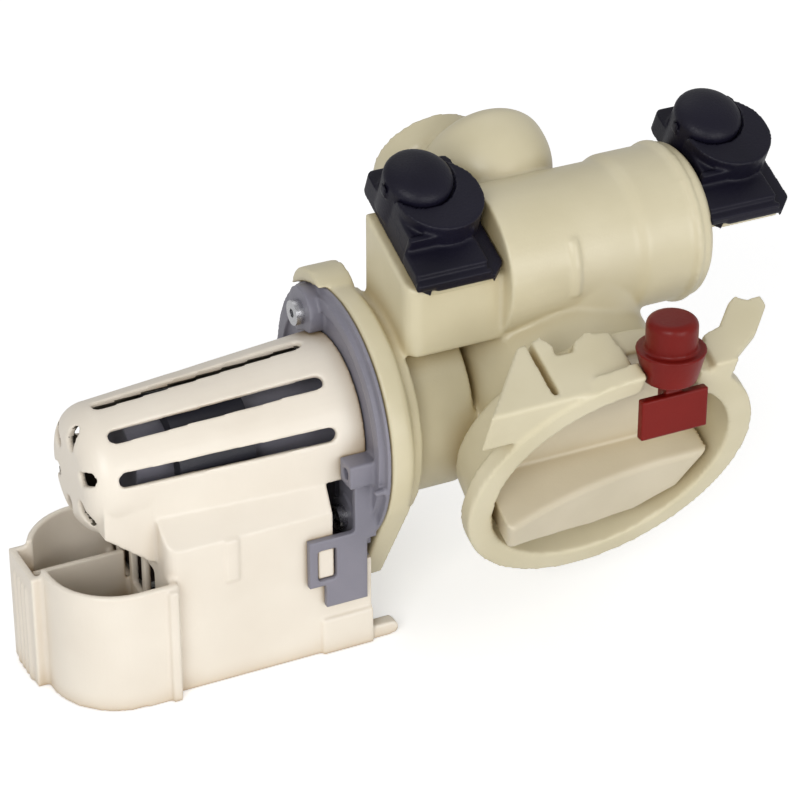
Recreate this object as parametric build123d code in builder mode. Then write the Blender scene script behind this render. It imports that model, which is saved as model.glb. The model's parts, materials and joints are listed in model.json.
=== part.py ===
"""Washer drain pump with its motor, strainer, cap and rubber feet, as separate pieces."""

import os
from math import cos, radians, sin, sqrt

from build123d import *

os.makedirs("parts", exist_ok=True)

# Clearances that every fit is made from
seat_gap = 0.3
slip_gap = 0.2
running_gap = 0.06
bed_gap = 0.1
cut_overrun = 1.0

# Motor cover
axis_height = 66.0
casing_length = 66.0
casing_half_width = 29.0
shoulder_drop = 9.0
shoulder_low_drop = 17.0
nose_length = 81.0
nose_tip_half = 18.0
nose_tip_drop = 14.0
nose_root_drop = 27.0
casing_corner = 4.0
cover_wall = 2.2
cone_length = 75.5
cone_tip_radius = 20.0
cone_root_radius = 25.5
dome_round = 9.0
vent_count = 5
vent_pitch_deg = 39.0
vent_middle_deg = 93.5
vent_width = 4.4
vent_root_distance = 9.0
vent_tip_distance = 8.5
dome_slot_count = 6
dome_slot_length = 8.0
dome_slot_width = 4.2
dome_slot_radius = 13.0
dome_slot_turn_deg = 40.0

# Connector shroud on the cover
shroud_reach = 31.5
shroud_front = 31.8
shroud_back = 24.0
shroud_height = 40.0
shroud_corner = 22.0
shroud_wall = 2.0
shroud_rib = 1.8
shroud_rib_drop = 8.0
key_reach = 3.5
key_width = 20.0
key_shift = 2.0
key_drop = 2.0
end_slot_count = 4
end_slot_pitch = 10.5
end_slot_width = 7.5
end_slot_height = 15.0
end_slot_drop = 29.0
end_slot_shift = 2.6
corner_rib_width = 3.0
corner_rib_depth = 1.6
corner_rib_height = 38.5
shroud_flute_count = 4
shroud_flute_radius = 0.9
shroud_flute_pitch = 3.2

# Small parts of the cover
foot_tab_length = 9.0
foot_tab_width = 4.5
foot_tab_height = 4.5
side_pad_length = 17.0
side_pad_height = 12.5
side_pad_thickness = 1.4
side_mark_width = 4.0
side_mark_height = 14.0
side_mark_thickness = 0.8
side_mark_distance = 46.0
catch_depth = 1.6
notch_length = 13.0
notch_inner = 9.4
notch_top_drop = 9.0
notch_height = 27.0
core_pad_width = 6.0

# Motor flange with its rotor can
flange_radius = 40.0
flange_thickness = 5.0
flange_lip = 1.2
flange_plug_radius = 36.0
flange_rim_inner = 33.0
flange_rim_outer = 37.0
flange_rim_height = 1.5
ear_radius = 8.0
ear_ring_radius = 31.8
ear_thickness = 5.0
ear_angles = (70.0, 235.0, 360.0)
can_inner_radius = 11.4
can_wall = 1.0
can_length = 68.0
can_end = 2.0
closing_plate_thickness = 3.0
boss_length = 9.2
boss_width = 7.5
boss_height = 7.7
boss_drop = 4.0
boss_hole_radius = 1.8
arm_thickness = 2.4
arm_reach = 22.0
arm_inset = 3.0
arm_corner = 1.5
arm_top_drop = 24.0
arm_bottom_drop = 40.0
arm_neck_lap = 3.0
arm_neck_length = 7.0
arm_window_width = 6.0
arm_window_height = 10.6
arm_window_drop = 32.8
arm_window_distance = 16.1
arm_tongue_length = 13.5
arm_tongue_height = 8.0

# Screws of the flange
screw_radius = 2.1
screw_head_radius = 3.9
screw_head_height = 2.6
screw_length = 15.0
screw_socket_radius = 1.5
screw_socket_depth = 1.6
screw_hole_gap = 0.25

# Stator with its coils
core_length = 24.0
core_distance = 32.5
pole_radius = 18.0
pole_split = 4.0
leg_width = 10.0
leg_centre = 15.0
leg_neck_centre = 13.0
leg_top_drop = 17.6
leg_lap = 3.0
yoke_height = 10.0
yoke_half_width = 25.0
core_foot_height = 6.0
bobbin_wall = 1.0
bobbin_flange_thickness = 1.2
bobbin_top_gap = 3.4
winding_depth = 4.4
terminal_width = 6.3
terminal_thickness = 0.8
terminal_reach = 14.0
terminal_root = 0.4
terminal_pitch = 9.0
terminal_drop = 52.0
terminal_hole_radius = 0.9

# Rotor
magnet_radius = 10.9
magnet_length = 30.0
shaft_radius = 1.5
shaft_front = 23.0
bearing_radius = 4.5
bearing_length = 6.0
bearing_flange_thickness = 2.0
washer_radius = 4.2
washer_thickness = 0.8
impeller_radius = 21.0
impeller_plate = 1.8
impeller_hub_radius = 5.5
impeller_start = 8.5
impeller_width = 17.0
vane_count = 5
vane_thickness = 2.2
vane_sweep_deg = 35.0

# Volute of the pump body
body_wall = 2.5
body_flange_thickness = 8.0
body_flange_round = 2.5
top_lug_radius = 13.0
top_lug_front = 2.0
collar_radius = 36.0
collar_length = 4.0
volute_radius = 30.0
volute_room_radius = 26.0
volute_end = 34.0
eye_radius = 12.0
gasket_inner_radius = 26.3
gasket_width = 1.9
gasket_thickness = 2.2
outlet_radius = 11.5
outlet_root_radius = 12.5
outlet_root_reach = 44.0
outlet_drop = 17.5
outlet_reach = 62.0
outlet_place = 19.0
eye_reach = 8.0
gusset_outline = ((-36.0, -17.4), (-15.5, -51.5), (-8.6, -56.5), (5.0, -38.0), (0.0, -10.0))

# Strainer room of the pump body
trap_reach = 66.8
trap_forward = 55.0
trap_drop = 10.3
trap_tilt_deg = 24.0
rim_radius = 47.0
rim_length = 6.0
mouth_radius = 39.0
mouth_depth = 21.5
rim_wall = 4.0
skirt_length = 5.0
room_radius = 31.5
room_depth = 84.0

# Brackets on top of the rim
bracket_rise = 44.0
bracket_thickness = 4.0
bracket_block_drop = 16.0
hook_outline = (
    (-50.0, 1.0),
    (-31.5, 22.8),
    (-23.1, 24.7),
    (-20.5, 20.5),
    (-21.8, 16.9),
    (-15.7, 16.8),
    (-14.5, 19.9),
    (-9.9, 22.5),
    (-2.2, 20.7),
    (-0.6, 9.9),
    (-1.2, 1.0),
)
hook_groove = (-27.5, 2.2, 20.0, 5.0)
finger_outline = (
    (25.0, 11.9),
    (31.6, 13.6),
    (38.7, 21.0),
    (41.7, 22.8),
    (44.2, 20.3),
    (49.6, 20.8),
    (49.8, 17.2),
    (41.6, 8.4),
    (30.3, 1.0),
    (24.5, 1.0),
)
finger_root = (23.5, 8.0, 9.0)

# Riser, barrel and inlet of the pump body
riser_radius = 21.5
riser_reach = 75.0
riser_forward = 12.0
barrel_radius = 24.2
barrel_forward = 11.0
barrel_rise = 45.5
barrel_start = 43.5
barrel_end = 112.0
barrel_step_place = 86.0
barrel_step_length = 3.0
barrel_thin_radius = 22.8
barrel_edge = 2.0
inlet_reach = 52.5
inlet_behind = 42.0
inlet_rise = 57.1
inlet_radius = 17.9
inlet_grip_length = 8.0
inlet_neck_radius = 16.8
inlet_length = 44.0
dome_reach = 62.0
dome_behind = 20.0
dome_rise = 59.4
dome_radius = 20.7
dome_back = 10.0
dome_back_round = 8.0
front_rib_share = 0.3
front_rib_rise_share = 0.15
front_rib_width = 2.0
front_rib_height = 1.2
front_rib_span_share = 0.8
end_ring_share = 0.9
end_ring_width = 2.0
end_ring_height = 1.0

# Rubber feet and their lugs
lug_pitch = 98.0
lug_reach = 29.0
lug_rise = 60.0
lug_forward = 12.0
lug_length = 40.0
lug_width = 20.0
lug_thickness = 4.0
stem_radius = 4.5
stem_height = 9.0
stem_back = 3.0
pillar_half = 15.0
left_pillar_reach = 16.0
pillar_round = 5.0
right_pillar_half = 8.0
right_pillar_low = 44.0
pad_length = 45.0
pad_back = 0.5
pad_width = 27.0
pad_thickness = 5.0
pad_lip = 3.0
pad_corner = 2.0
flap_length = 20.0
flap_step = 3.0
ring_radius = 13.5
ring_height = 8.0
crown_radius = 10.5
crown_height = 13.0
crown_shift = 7.0
crown_left = 4.0
flap_notch = 6.0

# Cap, gasket and basket
cap_depth = 14.0
cap_plate = 3.0
cap_skirt_radius = 36.4
cap_skirt_wall = 2.6
cap_skirt_length = 4.0
cap_gasket_length = 3.0
grip_half_length = 37.0
grip_heights = (21.8, 13.2, 12.0)
grip_edge_round = 2.0
grip_outline = (
    (-36.5, -5.0),
    (-33.5, -17.5),
    (-16.7, -24.0),
    (0.0, -28.4),
    (16.4, -28.6),
    (30.0, -21.5),
    (36.5, -5.0),
)
basket_radius = 27.0
basket_bar_count = 12
basket_bar = 2.4
basket_ring = 3.0
basket_length = 58.0
basket_floor = 2.0
basket_ring_shares = (0.31, 0.64)

# Lock of the cap
lock_reach = 9.0
lock_rise = 42.0
lock_setback = 1.5
lock_plate_width = 22.0
lock_plate_height = 13.0
lock_plate_thickness = 3.0
lock_neck_width = 5.0
lock_neck_depth = 8.0
lock_neck_length = 4.0
lock_plate_forward = 2.5
lock_collar_radius = 10.5
lock_collar_taper = 2.5
lock_collar_height = 10.0
lock_knob_radius = 7.7
lock_knob_height = 9.8
lock_knob_round = 2.5

# Planes that the pieces share
flange_x = casing_length / 2
tilt = radians(trap_tilt_deg)
centre = (flange_x, 0, axis_height)
shaft = Plane(origin=centre, x_dir=(0, 1, 0), z_dir=(1, 0, 0))
side = Plane(origin=centre, x_dir=(1, 0, 0), z_dir=(0, -1, 0))
shaft_line = Axis(centre, (1, 0, 0))
trap_centre = (flange_x + trap_reach, -trap_forward, axis_height - trap_drop)
trap = Plane(origin=trap_centre, x_dir=(1, 0, 0), z_dir=(0, -cos(tilt), -sin(tilt)))
trap_side = Plane(origin=trap_centre, x_dir=(1, 0, 0), z_dir=(0, sin(tilt), -cos(tilt)))
trap_line = Axis(trap_centre, (0, -cos(tilt), -sin(tilt)))
bracket_origin = trap.from_local_coords((0, bracket_rise, 0))
bracket_plane = Plane(origin=bracket_origin, x_dir=(1, 0, 0), z_dir=trap.y_dir)
dome_centre = (flange_x + dome_reach, dome_behind, axis_height + dome_rise)
dome_side = Plane(origin=dome_centre, x_dir=(1, 0, 0), z_dir=trap_side.z_dir)
dome_line = Axis(dome_centre, trap_line.direction)


def ear_point(angle_deg):
    """Return the place of a screw on the flange, seen along the shaft."""
    turn = radians(angle_deg)
    return (ear_ring_radius * cos(turn), ear_ring_radius * sin(turn))


def cover_room(inset, mouth, mode):
    """Fill the motor room of the cover, shrunk by a wall."""
    face_x = -cone_length - dome_round
    corner = cone_tip_radius - dome_round
    bend = (dome_round - inset) * sqrt(0.5)
    tip = (face_x + dome_round, cone_tip_radius - inset)
    with BuildSketch(side) as cone:
        with BuildLine():
            Line((face_x + inset, 0), (face_x + inset, corner))
            ThreePointArc((face_x + inset, corner), (face_x + dome_round - bend, corner + bend), tip)
            Line(tip, (mouth, cone_root_radius - inset))
            Line((mouth, cone_root_radius - inset), (mouth, 0))
            Line((mouth, 0), (face_x + inset, 0))
        make_face()
    revolve(cone.sketch, axis=shaft_line, mode=mode)
    start = flange_x - casing_length + inset
    stop = flange_x + mouth
    shoulder = cone_root_radius - (cone_root_radius - cone_tip_radius) * casing_length / cone_length
    with BuildSketch(Plane.XY.offset(inset)) as cheeks:
        with BuildLine():
            Polyline(
                (start, inset - shoulder),
                (stop, inset - cone_root_radius),
                (stop, cone_root_radius - inset),
                (start, shoulder - inset),
                close=True,
            )
        make_face()
    extrude(cheeks.sketch, amount=axis_height - inset, mode=mode)
    # Casing with its sloped shoulders, and the nose that runs on under the cone
    low = axis_height - inset
    ends = []
    for place, half in ((start, shoulder - inset), (stop, cone_root_radius - inset)):
        with BuildSketch(shaft.offset(place - flange_x)) as end:
            with BuildLine():
                Polyline(
                    (inset - casing_half_width, -low),
                    (casing_half_width - inset, -low),
                    (casing_half_width - inset, -shoulder_low_drop - inset),
                    (half, -shoulder_drop - inset),
                    (-half, -shoulder_drop - inset),
                    (inset - casing_half_width, -shoulder_low_drop - inset),
                    close=True,
                )
            make_face()
        ends.append(end.sketch)
    loft(ends, ruled=True, mode=mode)
    ends = []
    for place, half, drop in (
        (inset - nose_length, nose_tip_half, nose_tip_drop),
        (start - flange_x + cover_wall, shoulder, nose_root_drop),
    ):
        with BuildSketch(shaft.offset(place)) as end:
            Rectangle(2 * (half - inset), drop - inset, align=(Align.CENTER, Align.MAX))
        ends.append(end.sketch)
    loft(ends, ruled=True, mode=mode)


def inlet_dome(inset, mode):
    """Turn the dome over the inlet, shrunk by a wall."""
    radius = dome_radius - inset
    bend = dome_back_round - inset
    straight = dome_back_round - dome_back
    with BuildSketch(dome_side) as half:
        with BuildLine():
            ThreePointArc((0, radius), (radius * sqrt(0.5), radius * sqrt(0.5)), (radius, 0))
            Line((radius, 0), (radius, straight))
            middle = (radius - bend * (1 - sqrt(0.5)), straight - bend * sqrt(0.5))
            ThreePointArc((radius, straight), middle, (radius - bend, straight - bend))
            Line((radius - bend, straight - bend), (0, straight - bend))
            Line((0, straight - bend), (0, radius))
        make_face()
    revolve(half.sketch, axis=dome_line, mode=mode)


# Motor cover with vents and connector shroud
vent_length = cone_length + dome_round - vent_root_distance - vent_tip_distance
shroud_width = shroud_front + shroud_back
shroud_middle = (shroud_back - shroud_front) / 2
shroud_place = (-flange_x + (shroud_corner - shroud_reach) / 2, shroud_middle)
shroud_span = shroud_reach + shroud_corner
shroud_left = -flange_x - shroud_reach
terminal_ys = [shroud_middle - terminal_pitch / 2, shroud_middle + terminal_pitch / 2]
terminal_z = axis_height - terminal_drop
vent_line = -vent_root_distance - vent_length / 2
with BuildPart() as motor_cover:
    cover_room(0, -seat_gap, Mode.ADD)
    upright = motor_cover.edges().filter_by(Axis.Z).sort_by(Axis.Y)
    fillet(upright[0:2].sort_by(Axis.X)[0:1] + upright[-2:].sort_by(Axis.X)[0:1], radius=casing_corner)
    # Shroud round the terminals, open at the top
    with BuildSketch(Plane.XY):
        with Locations(shroud_place):
            RectangleRounded(shroud_span, shroud_width, shroud_corner)
        with Locations((cover_wall - flange_x, shroud_middle)):
            Rectangle(shroud_span, 2 * shroud_width, align=(Align.MIN, Align.CENTER), mode=Mode.SUBTRACT)
    extrude(amount=shroud_height)
    with BuildSketch(Plane.XY):
        with Locations((shroud_left - key_reach, key_shift)):
            Rectangle(key_reach + shroud_corner, key_width, align=(Align.MIN, Align.CENTER))
    extrude(amount=shroud_height - key_drop)
    with BuildSketch(Plane.XY.offset(shroud_wall)):
        with Locations(shroud_place):
            RectangleRounded(
                shroud_span - 2 * shroud_wall, shroud_width - 2 * shroud_wall, shroud_corner - shroud_wall
            )
        with Locations((shroud_left - key_reach + shroud_wall, key_shift)):
            Rectangle(
                key_reach + shroud_corner, key_width - 2 * shroud_wall, align=(Align.MIN, Align.CENTER)
            )
        with Locations((-flange_x, shroud_middle)):
            Rectangle(shroud_span, 2 * shroud_width, align=(Align.MIN, Align.CENTER), mode=Mode.SUBTRACT)
    extrude(amount=shroud_height, mode=Mode.SUBTRACT)
    # Upright rib where the shroud meets the casing
    with BuildSketch(Plane.XY):
        with Locations((-flange_x, -shroud_front)):
            Rectangle(corner_rib_width, 2 * corner_rib_depth)
    extrude(amount=corner_rib_height)
    # Rib across the shroud and flutes on its outer end
    with BuildSketch(Plane.XY):
        with Locations((shroud_left + shroud_wall / 2, shroud_middle + terminal_pitch)):
            Rectangle(shroud_reach, shroud_rib, align=(Align.MIN, Align.CENTER))
    extrude(amount=shroud_height - shroud_rib_drop)
    with BuildSketch(Plane.XY):
        flute_span = (shroud_flute_count - 1) * shroud_flute_pitch
        for number in range(shroud_flute_count):
            flute_y = key_shift - flute_span / 2 + number * shroud_flute_pitch
            with Locations((shroud_left - key_reach, flute_y)):
                Circle(shroud_flute_radius)
    extrude(amount=shroud_height - shroud_rib_drop)
    # Foot tab, pad and mark on the outside of the casing
    with BuildSketch(Plane.XZ.offset(casing_half_width)):
        with Locations((flange_x - seat_gap, foot_tab_height / 2)):
            SlotOverall(2 * foot_tab_length, foot_tab_height)
    extrude(amount=-foot_tab_width)
    pad_place = (flange_x - seat_gap, -casing_half_width)
    with BuildSketch(Plane.XY):
        with Locations(pad_place):
            Rectangle(side_pad_length, 2 * side_pad_thickness, align=(Align.MAX, Align.CENTER))
    extrude(amount=side_pad_height)
    with BuildSketch(Plane.XY.offset(axis_height - shoulder_low_drop - side_mark_height)):
        with Locations((flange_x - side_mark_distance, -casing_half_width)):
            Rectangle(side_mark_width, 2 * side_mark_thickness)
    extrude(amount=side_mark_height)
    # Catch for the window of the flange's arm
    with BuildSketch(Plane.XZ.offset(casing_half_width)):
        with Locations((flange_x - arm_window_distance, axis_height - arm_window_drop)):
            Rectangle(arm_window_width - 2 * seat_gap, arm_window_height - 2 * seat_gap)
    extrude(amount=catch_depth)
    cover_room(cover_wall, cut_overrun, Mode.SUBTRACT)
    # Vents round the cone and in the dome
    for number in range(vent_count):
        turn = radians(vent_middle_deg + (number - (vent_count - 1) / 2) * vent_pitch_deg)
        out = Plane(origin=centre, x_dir=(1, 0, 0), z_dir=(0, -cos(turn), sin(turn)))
        with BuildSketch(out.offset(cone_tip_radius - dome_round)):
            with Locations((vent_line, 0)):
                SlotOverall(vent_length, vent_width)
        extrude(amount=cone_root_radius, mode=Mode.SUBTRACT)
    with BuildSketch(shaft.offset(-cone_length)):
        with PolarLocations(dome_slot_radius, dome_slot_count, start_angle=dome_slot_turn_deg):
            SlotOverall(dome_slot_length, dome_slot_width)
    extrude(amount=-dome_round - cut_overrun, mode=Mode.SUBTRACT)
    # Slots for the terminals
    with BuildSketch(Plane.YZ.offset(-flange_x - cut_overrun)):
        with Locations([(y, terminal_z) for y in terminal_ys]):
            Rectangle(terminal_thickness + 2 * bed_gap, terminal_width + 2 * bed_gap)
    extrude(amount=cover_wall + 2 * cut_overrun, mode=Mode.SUBTRACT)
    # Air slots in the end wall above the terminals
    with BuildSketch(Plane.YZ.offset(-flange_x - cut_overrun)):
        with Locations((end_slot_shift, axis_height - end_slot_drop)):
            with GridLocations(end_slot_pitch, end_slot_height, end_slot_count, 1):
                Rectangle(end_slot_width, end_slot_height, align=(Align.CENTER, Align.MAX))
    extrude(amount=cover_wall + 2 * cut_overrun, mode=Mode.SUBTRACT)
    # Corner left free for the flange's front screw
    with BuildSketch(Plane.XZ.offset(notch_inner)):
        with Locations((flange_x + cut_overrun, axis_height - notch_top_drop)):
            Rectangle(notch_length + cut_overrun, notch_height, align=(Align.MAX, Align.MAX))
    extrude(amount=casing_half_width, mode=Mode.SUBTRACT)
    # Pads under the stator
    with BuildSketch(Plane.XY.offset(cover_wall)):
        with Locations([(flange_x - core_distance - core_length / 2, y) for y in (-leg_centre, leg_centre)]):
            Rectangle(core_length, core_pad_width)
    extrude(amount=core_foot_height - bed_gap - cover_wall)
motor_cover.part.label = "motor_cover"
export_step(motor_cover.part, "parts/motor_cover.step")

# Motor flange with rotor can, screw ears and slotted arm
ear_places = [ear_point(angle) for angle in ear_angles]
boss_reach = cone_root_radius + seat_gap + boss_width / 2
can_radius = can_inner_radius + can_wall
with BuildPart() as motor_flange:
    for radius, thickness in ((flange_radius, flange_lip), (flange_plug_radius, flange_thickness)):
        with BuildSketch(shaft):
            Circle(radius)
        extrude(amount=thickness)
    with BuildSketch(shaft.offset(-ear_thickness)):
        with Locations(ear_places):
            Circle(ear_radius)
        Circle(cone_root_radius + seat_gap, mode=Mode.SUBTRACT)
    extrude(amount=ear_thickness + seat_gap)
    # Raised ring on the face, left out where the casing stands
    with BuildSketch(shaft.offset(-flange_rim_height)):
        Circle(flange_rim_outer)
        Circle(flange_rim_inner, mode=Mode.SUBTRACT)
        with Locations((0, seat_gap - shoulder_drop)):
            Rectangle(
                2 * (casing_half_width + seat_gap),
                flange_radius,
                align=(Align.CENTER, Align.MAX),
                mode=Mode.SUBTRACT,
            )
    extrude(amount=flange_rim_height + seat_gap)
    with BuildSketch(shaft):
        Circle(can_radius)
    extrude(amount=-can_length)
    # Block with the bracket hole beside the cone
    with BuildSketch(shaft):
        with Locations((-boss_reach, -boss_drop)):
            Rectangle(boss_width, boss_height)
    extrude(amount=-boss_length)
    # Arm with window and tongue beside the casing
    with BuildSketch(Plane.XZ.offset(casing_half_width + seat_gap)) as arm:
        with Locations((flange_x - arm_inset, axis_height - arm_top_drop)):
            Rectangle(arm_reach - arm_inset, arm_bottom_drop - arm_top_drop, align=(Align.MAX, Align.MAX))
        with Locations((flange_x - arm_inset, axis_height - arm_bottom_drop + arm_corner)):
            Rectangle(arm_tongue_length, arm_tongue_height + arm_corner, align=(Align.MAX, Align.MAX))
        with Locations((flange_x, axis_height - boss_drop)):
            Rectangle(arm_neck_length, arm_top_drop + arm_neck_lap - boss_drop, align=(Align.MAX, Align.MAX))
        with Locations((flange_x - arm_window_distance, axis_height - arm_window_drop)):
            Rectangle(arm_window_width, arm_window_height, mode=Mode.SUBTRACT)
    extrude(amount=arm_thickness)
    with BuildSketch(shaft):
        with Locations((-boss_reach, -boss_drop)):
            Circle(boss_hole_radius)
    extrude(amount=-boss_length - cut_overrun, mode=Mode.SUBTRACT)
    # Plate that closes the lower end of the casing
    with BuildSketch(shaft):
        with Locations((0, cover_wall + seat_gap - axis_height)):
            Rectangle(
                2 * (casing_half_width - cover_wall - seat_gap),
                axis_height - shoulder_low_drop - 2 * cover_wall - 2 * seat_gap,
                align=(Align.CENTER, Align.MIN),
            )
        with Locations((-casing_half_width, -notch_top_drop + seat_gap)):
            Rectangle(
                2 * (casing_half_width - notch_inner + seat_gap),
                notch_height + 2 * seat_gap,
                align=(Align.CENTER, Align.MAX),
                mode=Mode.SUBTRACT,
            )
    extrude(amount=-closing_plate_thickness)
    # Bore of the can and holes for the screws
    with BuildSketch(shaft.offset(flange_thickness + cut_overrun)):
        Circle(can_inner_radius)
    extrude(amount=-flange_thickness - cut_overrun - can_length + can_end, mode=Mode.SUBTRACT)
    with BuildSketch(shaft.offset(flange_thickness + cut_overrun)):
        with Locations(ear_places):
            Circle(screw_radius + screw_hole_gap)
    extrude(amount=-flange_thickness - ear_thickness - 2 * cut_overrun, mode=Mode.SUBTRACT)
motor_flange.part.label = "motor_flange"
export_step(motor_flange.part, "parts/motor_flange.step")

# Screws that hold the flange to the pump body
with BuildPart() as flange_screws:
    with BuildSketch(shaft.offset(-ear_thickness)):
        with Locations(ear_places):
            Circle(screw_head_radius)
    extrude(amount=-screw_head_height)
    with BuildSketch(shaft.offset(-ear_thickness)):
        with Locations(ear_places):
            Circle(screw_radius)
    extrude(amount=screw_length)
    with BuildSketch(shaft.offset(-ear_thickness - screw_head_height)):
        with Locations(ear_places):
            RegularPolygon(screw_socket_radius, 6)
    extrude(amount=screw_socket_depth, mode=Mode.SUBTRACT)
flange_screws.part.label = "flange_screws"
export_step(flange_screws.part, "parts/flange_screws.step")

# Stator laminations, one stack with two legs
core_plane = shaft.offset(-core_distance - core_length)
yoke_bottom_drop = axis_height - core_foot_height
core_bore = can_radius + seat_gap
with BuildPart() as stator_core:
    with BuildSketch(core_plane):
        Circle(pole_radius)
        with Locations((-leg_neck_centre, 0), (leg_neck_centre, 0)):
            Rectangle(leg_width, leg_top_drop + leg_lap, align=(Align.CENTER, Align.MAX))
        with Locations((-leg_centre, -leg_top_drop), (leg_centre, -leg_top_drop)):
            Rectangle(leg_width, yoke_bottom_drop - leg_top_drop, align=(Align.CENTER, Align.MAX))
        Rectangle(pole_split, 4 * pole_radius, mode=Mode.SUBTRACT)
        with Locations((0, -yoke_bottom_drop)):
            Rectangle(2 * yoke_half_width, yoke_height, align=(Align.CENTER, Align.MIN))
        Circle(core_bore, mode=Mode.SUBTRACT)
    extrude(amount=core_length)
stator_core.part.label = "stator_core"
export_step(stator_core.part, "parts/stator_core.step")

# Bobbins on the legs of the stator
bobbin_base = core_foot_height + yoke_height + bed_gap
bobbin_height = axis_height - leg_top_drop - bobbin_top_gap - bobbin_base
bobbin_places = [(flange_x - core_distance - core_length / 2, y) for y in (-leg_centre, leg_centre)]
tube_length = core_length + 2 * (bed_gap + bobbin_wall)
tube_width = leg_width + 2 * (bed_gap + bobbin_wall)
with BuildPart() as coil_bobbins:
    with BuildSketch(Plane.XY.offset(bobbin_base)):
        with Locations(bobbin_places):
            Rectangle(tube_length, tube_width)
    extrude(amount=bobbin_height)
    for level in (bobbin_base, bobbin_base + bobbin_height - bobbin_flange_thickness):
        with BuildSketch(Plane.XY.offset(level)):
            with Locations(bobbin_places):
                Rectangle(tube_length + 2 * winding_depth, tube_width + 2 * winding_depth)
        extrude(amount=bobbin_flange_thickness)
    with BuildSketch(Plane.XY.offset(bobbin_base - cut_overrun)):
        with Locations(bobbin_places):
            Rectangle(tube_length - 2 * bobbin_wall, tube_width - 2 * bobbin_wall)
    extrude(amount=bobbin_height + 2 * cut_overrun, mode=Mode.SUBTRACT)
coil_bobbins.part.label = "coil_bobbins"
export_step(coil_bobbins.part, "parts/coil_bobbins.step")

# Windings between the flanges of the bobbins
winding_base = bobbin_base + bobbin_flange_thickness + bed_gap
winding_height = bobbin_height - 2 * (bobbin_flange_thickness + bed_gap)
with BuildPart() as coil_windings:
    with BuildSketch(Plane.XY.offset(winding_base)):
        with Locations(bobbin_places):
            RectangleRounded(
                tube_length + 2 * winding_depth - 2 * bobbin_wall,
                tube_width + 2 * winding_depth - 2 * bobbin_wall,
                winding_depth - bobbin_wall,
            )
        with Locations(bobbin_places):
            Rectangle(tube_length + 2 * bed_gap, tube_width + 2 * bed_gap, mode=Mode.SUBTRACT)
    extrude(amount=winding_height)
coil_windings.part.label = "coil_windings"
export_step(coil_windings.part, "parts/coil_windings.step")

# Terminal blades in the wall of the casing
with BuildPart() as terminal_tabs:
    with BuildSketch(Plane.YZ.offset(-flange_x - terminal_reach)):
        with Locations([(y, terminal_z) for y in terminal_ys]):
            Rectangle(terminal_thickness, terminal_width)
    extrude(amount=terminal_reach + cover_wall + terminal_root)
    for y in terminal_ys:
        with BuildSketch(Plane.XZ.offset(-y - terminal_thickness)):
            with Locations((-flange_x - terminal_reach + terminal_width / 2, terminal_z)):
                Circle(terminal_hole_radius)
        extrude(amount=2 * terminal_thickness, mode=Mode.SUBTRACT)
terminal_tabs.part.label = "terminal_tabs"
export_step(terminal_tabs.part, "parts/terminal_tabs.step")

# Bearings in the two ends of the rotor can
rear_bearing_start = -can_length + can_end
with BuildPart() as rear_bearing:
    with BuildSketch(shaft.offset(rear_bearing_start)):
        Circle(can_inner_radius - bed_gap)
        Circle(shaft_radius + running_gap, mode=Mode.SUBTRACT)
    extrude(amount=bearing_length)
rear_bearing.part.label = "rear_bearing"
export_step(rear_bearing.part, "parts/rear_bearing.step")

front_bearing_start = flange_thickness - bearing_length
with BuildPart() as front_bearing:
    with BuildSketch(shaft.offset(front_bearing_start)):
        Circle(can_inner_radius - bed_gap)
    extrude(amount=bearing_length)
    with BuildSketch(shaft.offset(front_bearing_start)):
        Circle(bearing_radius)
    extrude(amount=-bearing_flange_thickness)
    with BuildSketch(shaft.offset(front_bearing_start - bearing_flange_thickness - cut_overrun)):
        Circle(shaft_radius + running_gap)
    extrude(amount=bearing_length + bearing_flange_thickness + 2 * cut_overrun, mode=Mode.SUBTRACT)
front_bearing.part.label = "front_bearing"
export_step(front_bearing.part, "parts/front_bearing.step")

# Rotor shaft, magnet and impeller
magnet_start = rear_bearing_start + bearing_length + 2 * seat_gap + washer_thickness
with BuildPart() as rotor_shaft:
    with BuildSketch(shaft.offset(rear_bearing_start + seat_gap)):
        Circle(shaft_radius)
    extrude(amount=shaft_front - rear_bearing_start - seat_gap)
rotor_shaft.part.label = "rotor_shaft"
export_step(rotor_shaft.part, "parts/rotor_shaft.step")

with BuildPart() as rotor_magnet:
    with BuildSketch(shaft.offset(magnet_start)):
        Circle(magnet_radius)
        Circle(shaft_radius + bed_gap / 2, mode=Mode.SUBTRACT)
    extrude(amount=magnet_length)
rotor_magnet.part.label = "rotor_magnet"
export_step(rotor_magnet.part, "parts/rotor_magnet.step")

with BuildPart() as thrust_washer:
    with BuildSketch(shaft.offset(rear_bearing_start + bearing_length + seat_gap)):
        Circle(washer_radius)
        Circle(shaft_radius + bed_gap / 2, mode=Mode.SUBTRACT)
    extrude(amount=washer_thickness)
thrust_washer.part.label = "thrust_washer"
export_step(thrust_washer.part, "parts/thrust_washer.step")

with BuildPart() as impeller:
    with BuildSketch(shaft.offset(impeller_start)):
        Circle(impeller_radius)
    extrude(amount=impeller_plate)
    with BuildSketch(shaft.offset(impeller_start)):
        Circle(impeller_hub_radius)
    extrude(amount=impeller_width)
    with BuildSketch(shaft.offset(impeller_start + impeller_plate)):
        sweep_turn = radians(vane_sweep_deg)
        for number in range(vane_count):
            with Locations(Location((0, 0, 0), (0, 0, 360 * number / vane_count))):
                with BuildLine():
                    tip = (impeller_radius * cos(sweep_turn), impeller_radius * sin(sweep_turn))
                    middle = (impeller_radius / 2, impeller_radius / 6)
                    vane = ThreePointArc((0, 0), middle, tip)
                    offset(vane, amount=vane_thickness / 2, side=Side.BOTH)
                make_face()
    extrude(amount=impeller_width - impeller_plate)
    with BuildSketch(shaft.offset(impeller_start - cut_overrun)):
        Circle(shaft_radius + bed_gap / 2)
    extrude(amount=shaft_front + bed_gap - impeller_start + cut_overrun, mode=Mode.SUBTRACT)
impeller.part.label = "impeller"
export_step(impeller.part, "parts/impeller.step")

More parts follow.
